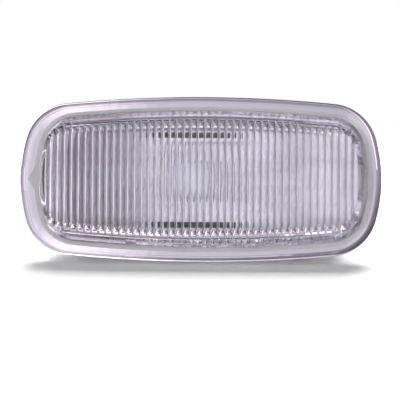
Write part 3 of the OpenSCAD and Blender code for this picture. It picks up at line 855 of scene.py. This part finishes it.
    def cut(self, piece: bpy.types.Object) -> None:
        """Cuts the notches out of the lip and keeps the result as the piece's mesh.

        Args:
            piece: The lens.
        """
        cutters = [notch.cutter(self.lip_back, self.lip_wall) for notch in self.notches()]
        for cutter in cutters:
            modifier = piece.modifiers.new(cutter.name, "BOOLEAN")
            modifier.operation = "DIFFERENCE"
            modifier.solver = "EXACT"
            modifier.object = cutter
        bpy.context.view_layer.update()
        shaped = piece.evaluated_get(bpy.context.evaluated_depsgraph_get())
        whole = piece.data
        piece.data = bpy.data.meshes.new_from_object(shaped)
        piece.modifiers.clear()
        bpy.data.meshes.remove(whole)
        for cutter in cutters:
            block = cutter.data
            bpy.data.objects.remove(cutter)
            bpy.data.meshes.remove(block)

    def build(self) -> bpy.types.Object:
        """Makes the lens mesh and dresses it.

        Returns:
            The lens.
        """
        mesh = MeshBuilder()
        outer = [mesh.ring(points) for points in self.lip_rings() + self.dome_rings()]
        mesh.bands(outer)
        mesh.cap(outer[-1], self.cap_rows)
        levels = (self.lip_back, self.seat_z + self.seat_gap)
        lip = [mesh.ring(self.level_ring(self.lip_wall, z)) for z in levels]
        mesh.bands([outer[0], *lip])
        inner = [mesh.ring(points) for points in self.cavity_rings()]
        mesh.zip_rings(lip[-1], inner[0])
        mesh.bands(inner)
        mesh.cap(inner[-1], self.cap_rows)
        piece = mesh.finish("lens_clear", self.finish.material(), self.sharp_deg)
        self.cut(piece)
        return piece


class MeshBuilder:
    """Collects rings of points and the faces between them, in lamp coordinates and millimetres."""

    def __init__(self) -> None:
        """Starts an empty mesh."""
        self.mesh = bmesh.new()

    def ring(self, points: np.ndarray) -> Ring:
        """Adds points given as x along the lamp, y up and z out of the panel."""
        return [self.mesh.verts.new((x * MM, -z * MM, y * MM)) for x, y, z in points]

    def bands(self, rings: Sequence[Ring]) -> None:
        """Joins each ring to the next with quads.

        Args:
            rings: Rings with the same number of points.
        """
        for low, high in zip(rings, rings[1:]):
            for i in range(len(low)):
                j = (i + 1) % len(low)
                self.mesh.faces.new((low[i], low[j], high[j], high[i]))

    def cap(self, ring: Ring, rows: int) -> None:
        """Closes a ring with columns from each upper point to its mirror image below.

        Args:
            ring: The ring, which starts at its left tip.
            rows: Number of faces in a column.
        """
        half = len(ring) // 2
        columns = [[ring[0]] * (rows + 1)]
        for top, bottom in zip(ring[1:half], ring[:half:-1]):
            inner = [self.mesh.verts.new(top.co.lerp(bottom.co, k / rows)) for k in range(1, rows)]
            columns.append([top, *inner, bottom])
        columns.append([ring[half]] * (rows + 1))
        for left, right in zip(columns, columns[1:]):
            for k in range(rows):
                corners = list(dict.fromkeys((left[k], left[k + 1], right[k + 1], right[k])))
                if len(corners) > 2:
                    self.mesh.faces.new(corners)

    @staticmethod
    def bearings(ring: Ring) -> list[float]:
        """Measures where each point of a ring stands, seen from the lamp's middle.

        Args:
            ring: The ring, which starts at its left tip and goes over the top.

        Returns:
            The angles, falling steadily, and the first one again a full turn later.
        """
        turned: list[float] = []
        last = math.pi
        for vert in ring:
            angle = math.atan2(vert.co.z, vert.co.x)
            while angle > last + ANGLE_SLACK:
                angle -= 2 * math.pi
            turned.append(angle)
            last = angle
        return turned + [turned[0] - 2 * math.pi]

    def zip_rings(self, first: Ring, second: Ring) -> None:
        """Joins two rings of different lengths with triangles, going round both together.

        Args:
            first: One ring.
            second: The other.
        """
        a, b = self.bearings(first), self.bearings(second)
        i = j = 0
        while i < len(first) or j < len(second):
            if j == len(second) or (i < len(first) and a[i + 1] >= b[j + 1]):
                self.mesh.faces.new((first[i], first[(i + 1) % len(first)], second[j % len(second)]))
                i += 1
            else:
                self.mesh.faces.new((first[i % len(first)], second[(j + 1) % len(second)], second[j]))
                j += 1

    def finish(self, name: str, material: bpy.types.Material, sharp_deg: float) -> bpy.types.Object:
        """Turns the faces outward, shades them smooth up to an angle and makes the object.

        Args:
            name: The piece's name.
            material: Its finish.
            sharp_deg: Edges that turn by more than this stay sharp.

        Returns:
            The new object.
        """
        bmesh.ops.recalc_face_normals(self.mesh, faces=self.mesh.faces)
        for face in self.mesh.faces:
            face.smooth = True
        limit = math.radians(sharp_deg)
        for edge in self.mesh.edges:
            edge.smooth = edge.calc_face_angle(0.0) < limit
        data = bpy.data.meshes.new(name)
        self.mesh.to_mesh(data)
        self.mesh.free()
        data.materials.append(material)
        piece = bpy.data.objects.new(name, data)
        bpy.context.scene.collection.objects.link(piece)
        return piece


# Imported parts

PLATED_WIRE = DrawnMetal(
    "plated_wire",
    base=(0.72, 0.68, 0.6),
    dark=(0.45, 0.42, 0.38),
    smoothest=0.25,
    lines=(2500.0, 300.0, 2500.0),
)
TINNED_STRIP = DrawnMetal(
    "tinned_strip",
    base=(0.83, 0.76, 0.55),
    dark=(0.5, 0.43, 0.28),
    smoothest=0.23,
    lines=(300.0, 3000.0, 3000.0),
)


@dataclass(frozen=True)
class PackedUnit:
    """A sub-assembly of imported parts. Each field has the name of a part and holds its finish."""

    def dress(self) -> list[str]:
        """Gives each part its finish, and parts with the same finish the same material.

        Returns:
            The names of the dressed parts.
        """
        made: dict[Finish, bpy.types.Material] = {}
        names = [entry.name for entry in fields(self)]
        for name in names:
            finish = getattr(self, name)
            if finish not in made:
                made[finish] = finish.material()
            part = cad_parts[name]
            if not part.material_slots:
                part.data.materials.append(made[finish])
            for slot in part.material_slots:
                slot.material = made[finish]
        return names


@dataclass(frozen=True)
class BodyUnit(PackedUnit):
    """The grey housing with its reflector, foam ring and clip."""

    housing: Finish = SatinMoulding("grey_moulding", base=(0.5, 0.485, 0.5), worn=(0.44, 0.425, 0.44))
    reflector: Finish = Metallised()
    panel_seal: Finish = CellFoam()
    spring_clip: Finish = DrawnMetal(
        "spring_strip",
        base=(0.75, 0.75, 0.77),
        dark=(0.5, 0.49, 0.48),
        smoothest=0.2,
        lines=(3000.0, 200.0, 3000.0),
    )


@dataclass(frozen=True)
class BulbUnit(PackedUnit):
    """The capless bulb: glass, filament and two wires."""

    bulb_glass: Finish = BlownGlass()
    filament: Finish = DrawnMetal(
        "coiled_wire",
        base=(0.3, 0.29, 0.29),
        dark=(0.2, 0.19, 0.19),
        smoothest=0.3,
        lines=(4000.0, 900.0, 900.0),
    )
    bulb_lead_left: Finish = PLATED_WIRE
    bulb_lead_right: Finish = PLATED_WIRE


@dataclass(frozen=True)
class HolderUnit(PackedUnit):
    """The push-in bulb holder with its rubber ring and two contacts."""

    bulb_holder: Finish = SatinMoulding(
        "pale_moulding", base=(0.62, 0.62, 0.64), worn=(0.54, 0.54, 0.56), smoothest=0.34
    )
    holder_seal: Finish = SmoothRubber()
    contact_left: Finish = TINNED_STRIP
    contact_right: Finish = TINNED_STRIP


# Camera, floor and light, in metres, degrees and watts


@dataclass(frozen=True)
class Viewpoint:
    """The camera at the viewing angle of the photograph."""

    azimuth: float = 4.5
    elevation: float = -2.0
    roll: float = 0.5
    distance: float = 0.9
    frame_width: float = 0.1132
    target: Triple = (-0.00055, -0.008, -0.006)
    sensor: float = 36.0
    nearest: float = 0.01

    def build(self) -> None:
        """Makes the camera and hands it to the scene."""
        azimuth, elevation = math.radians(self.azimuth), math.radians(self.elevation)
        level = math.cos(elevation)
        away = Vector((math.sin(azimuth) * level, -math.cos(azimuth) * level, math.sin(elevation)))
        data = bpy.data.cameras.new("view")
        data.sensor_width = self.sensor
        data.lens = self.sensor * self.distance / self.frame_width
        data.clip_start = self.nearest
        camera = bpy.data.objects.new("view", data)
        place = Matrix.Translation(Vector(self.target) + away * self.distance)
        turn = away.to_track_quat("Z", "Y").to_matrix().to_4x4()
        camera.matrix_world = place @ turn @ Matrix.Rotation(math.radians(self.roll), 4, "Z")
        bpy.context.scene.collection.objects.link(camera)
        bpy.context.scene.camera = camera


@dataclass(frozen=True)
class SoftLight:
    """A rectangular light that faces the lamp and doesn't show in gloss or clear pieces."""

    name: str
    place: Triple
    size: tuple[float, float]
    power: float
    colour: Colour = WHITE

    def build(self) -> None:
        """Makes the light."""
        data = bpy.data.lights.new(self.name, "AREA")
        data.shape = "RECTANGLE"
        data.size, data.size_y = self.size
        data.energy = self.power
        data.color = self.colour
        light = bpy.data.objects.new(self.name, data)
        turn = Vector(self.place).to_track_quat("Z", "Y").to_matrix().to_4x4()
        light.matrix_world = Matrix.Translation(self.place) @ turn
        light.visible_glossy = False
        light.visible_transmission = False
        bpy.context.scene.collection.objects.link(light)


@dataclass(frozen=True)
class Floor:
    """A pale floor that rises a little to the back and doesn't show in gloss or clear pieces."""

    slope: float = 12.0
    touch: Triple = (0.0, -0.004, -0.0242)
    side: float = 0.6
    front: float = 0.6
    back: float = 0.22
    pale: Colour = (0.94, 0.94, 0.95)
    paler: Colour = (0.96, 0.96, 0.96)
    roughness: float = 0.9
    speck_scale: float = 40.0

    def material(self) -> bpy.types.Material:
        """Builds the floor's finish.

        Returns:
            The material.
        """
        sheet = Coating("pale_floor")
        speck = sheet.noise(sheet.place(), self.speck_scale, detail=3.0)
        colour = sheet.blend(speck, self.pale, self.paler)
        return sheet.surface({"Base Color": colour, "Roughness": self.roughness})

    def build(self) -> None:
        """Makes the floor and hides it from gloss and clear rays."""
        corners = (
            (-self.side, -self.front),
            (self.side, -self.front),
            (self.side, self.back),
            (-self.side, self.back),
        )
        mesh = bmesh.new()
        mesh.faces.new([mesh.verts.new((x, y, 0)) for x, y in corners])
        data = bpy.data.meshes.new("floor")
        mesh.to_mesh(data)
        mesh.free()
        data.materials.append(self.material())
        floor = bpy.data.objects.new("floor", data)
        tilt = Matrix.Rotation(math.radians(self.slope), 4, "X")
        floor.matrix_world = Matrix.Translation(self.touch) @ tilt
        floor.visible_glossy = False
        floor.visible_transmission = False
        bpy.context.scene.collection.objects.link(floor)


@dataclass(frozen=True)
class Surround:
    """The world: white to the camera, dim on matt faces, and a soft room in gloss and clear pieces.

    The room's colours follow the direction of a ray. Its two rows of stops along the lamp, for the side
    behind the lamp and the side before it, are multiplied by the row for the ray's height. A ray that
    has met a matt face before it leaves through the lens gets an even light instead.
    """

    ambient: float = 0.38
    through_lens: float = 2.0
    behind_reach: float = 0.5
    turn_over: float = 0.15
    behind: Stops = (
        (0.2, (1.55, 1.38, 1.5)),
        (0.36, (1.55, 1.38, 1.5)),
        (0.41, (0.5, 0.48, 0.54)),
        (0.47, (0.42, 0.4, 0.46)),
        (0.7, (0.22, 0.2, 0.25)),
        (1.0, (0.2, 0.18, 0.22)),
    )
    before: Stops = (
        (0.0, (0.6, 0.58, 0.62)),
        (0.3, (1.0, 0.98, 1.04)),
        (0.38, (1.0, 0.98, 1.04)),
        (0.44, (0.85, 0.85, 0.92)),
        (0.51, (0.75, 0.74, 0.8)),
        (0.52, (2.6, 2.55, 2.65)),
        (0.55, (2.6, 2.55, 2.65)),
        (0.56, (0.25, 0.24, 0.27)),
        (0.64, (0.18, 0.17, 0.19)),
        (0.8, (0.1, 0.09, 0.1)),
        (1.0, (0.3, 0.28, 0.3)),
    )
    height: Stops = (
        (0.0, (0.8, 0.78, 0.8)),
        (0.06, (0.15, 0.14, 0.15)),
        (0.12, (0.15, 0.14, 0.15)),
        (0.15, (2.4, 2.3, 2.4)),
        (0.22, (2.4, 2.3, 2.4)),
        (0.25, (0.3, 0.29, 0.3)),
        (0.42, (0.5, 0.49, 0.5)),
        (0.495, (0.8, 0.79, 0.8)),
        (0.515, (1.15, 1.13, 1.15)),
        (0.55, (1.35, 1.32, 1.35)),
        (0.66, (1.1, 1.08, 1.12)),
        (0.75, (0.3, 0.29, 0.33)),
        (0.86, (0.16, 0.15, 0.19)),
        (0.895, (0.16, 0.15, 0.19)),
        (0.905, (1.4, 1.37, 1.4)),
        (0.92, (1.4, 1.37, 1.4)),
        (0.93, (0.2, 0.19, 0.23)),
    )

    def room(self, sheet: NodeSheet) -> Signal:
        """Works out the room's colour in each direction.

        Args:
            sheet: The world's node sheet.

        Returns:
            The colour.
        """
        way = sheet.node("ShaderNodeTexCoord", out="Generated")
        x, y, z = (sheet.part(way, axis) for axis in range(3))
        behind = sheet.ramp(sheet.spread(x, -self.behind_reach, self.behind_reach), self.behind)
        before = sheet.ramp(sheet.spread(x, -1.0, 1.0), self.before)
        height = sheet.ramp(sheet.spread(z, -1.0, 1.0), self.height)
        round_about = sheet.blend(sheet.spread(y, -self.turn_over, self.turn_over), before, behind)
        return sheet.blend(1.0, round_about, height, kind="MULTIPLY")

    @staticmethod
    def glow(sheet: NodeSheet, colour: Signal | Colour, strength: float) -> Signal:
        """A light of one colour and strength from all sides."""
        return sheet.node("ShaderNodeBackground", None, {"Color": colour, "Strength": strength})

    @staticmethod
    def choice(sheet: NodeSheet, share: Signal, first: Signal, second: Signal) -> Signal:
        """The first light at share 0 and the second at share 1."""
        return sheet.node("ShaderNodeMixShader", None, {0: share, 1: first, 2: second})

    def build(self) -> None:
        """Makes the world."""
        world = bpy.data.worlds.new("surround")
        world.use_nodes = True
        bpy.context.scene.world = world
        sheet = NodeSheet(world.node_tree)
        matt_before, clear, gloss, seen = (
            sheet.node("ShaderNodeLightPath", out=ray)
            for ray in ("Diffuse Depth", "Is Transmission Ray", "Is Glossy Ray", "Is Camera Ray")
        )
        even = self.glow(sheet, WHITE, self.through_lens)
        room = self.choice(
            sheet, sheet.spread(matt_before, 0.0, 1.0), self.glow(sheet, self.room(sheet), strength=1.0), even
        )
        shiny = sheet.node("ShaderNodeMath", {"operation": "MAXIMUM"}, {0: clear, 1: gloss})
        lit = self.choice(sheet, shiny, self.glow(sheet, WHITE, self.ambient), room)
        mixed = self.choice(sheet, seen, lit, self.glow(sheet, WHITE, strength=1.0))
        sheet.node("ShaderNodeOutputWorld", None, {"Surface": mixed})


@dataclass(frozen=True)
class Studio:
    """The floor, the surround, the lights and the colour handling."""

    floor: Floor = Floor()
    surround: Surround = Surround()
    lights: tuple[SoftLight, ...] = (
        SoftLight("overhead", place=(0.02, 0.2, 0.6), size=(0.42, 0.55), power=10.0),
        SoftLight(
            "front_left", place=(-0.45, -0.5, 0.35), size=(0.25, 0.4), power=0.3, colour=(1.0, 0.98, 0.98)
        ),
    )
    bounces: int = 24
    clear_bounces: int = 20
    gloss_bounces: int = 12
    open_bounces: int = 16

    def build(self) -> None:
        """Sets them up."""
        self.floor.build()
        self.surround.build()
        for light in self.lights:
            light.build()
        scene = bpy.context.scene
        scene.view_settings.view_transform = "Standard"
        scene.view_settings.look = "None"
        scene.cycles.max_bounces = self.bounces
        scene.cycles.transmission_bounces = self.clear_bounces
        scene.cycles.glossy_bounces = self.gloss_bounces
        scene.cycles.transparent_max_bounces = self.open_bounces


def main() -> None:
    """Builds the lamp's pieces in order, then the studio, and reports each."""
    logging.basicConfig(level=logging.INFO, format="%(name)s: %(message)s")
    Viewpoint().build()
    lens = LensUnit().build()
    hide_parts("lens")
    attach(lens, BODY)
    log.info("lens_clear: %d faces", len(lens.data.polygons))
    for unit in (BodyUnit(), BulbUnit(), HolderUnit()):
        for name in unit.dress():
            log.info("%s: dressed", name)
    Studio().build()


if __name__ == "__main__":
    main()
